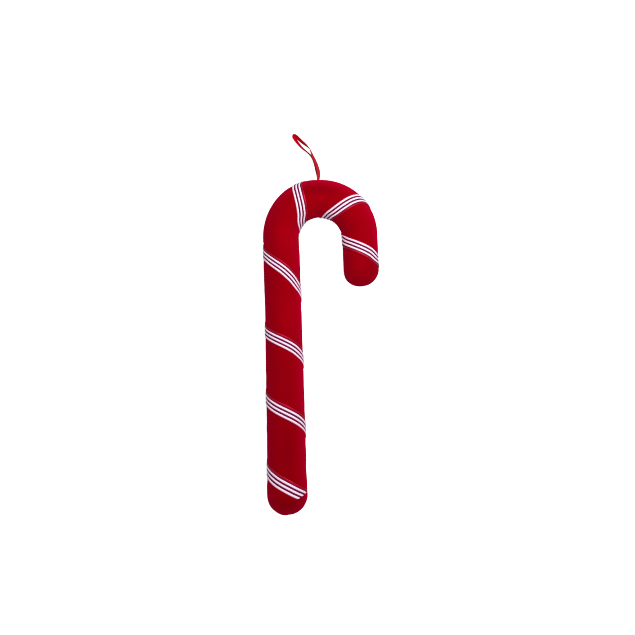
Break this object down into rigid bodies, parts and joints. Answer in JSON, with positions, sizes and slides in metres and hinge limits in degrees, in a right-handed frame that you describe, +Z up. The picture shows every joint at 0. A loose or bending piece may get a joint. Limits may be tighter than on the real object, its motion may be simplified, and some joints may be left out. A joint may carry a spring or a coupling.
{
  "type": "candy cane hanging decoration",
  "caption": "Padded velvet candy cane lying on its back, a rod bent into a crook, wound with striped ribbon and topped with a narrow satin hanging loop.",
  "frame": {"origin": "on the surface the cane lies on, below the middle of the box round the cane and its wound ribbon", "axes": "+Y up the shaft from the foot to the crook, +X from the shaft across to the short arm, +Z up out of the shown side"},
  "size_m": [0.1416, 0.4573, 0.0488],
  "materials": {
    "velvet": "short-pile velvet, deep crimson",
    "striped_ribbon": "woven satin, white stripes on crimson",
    "satin": "red satin ribbon"
  },
  "bodies": {
    "root": {"velvet_cane": "velvet", "striped_ribbon": "striped_ribbon", "hanging_loop": "satin"}
  },
  "joints": []
}
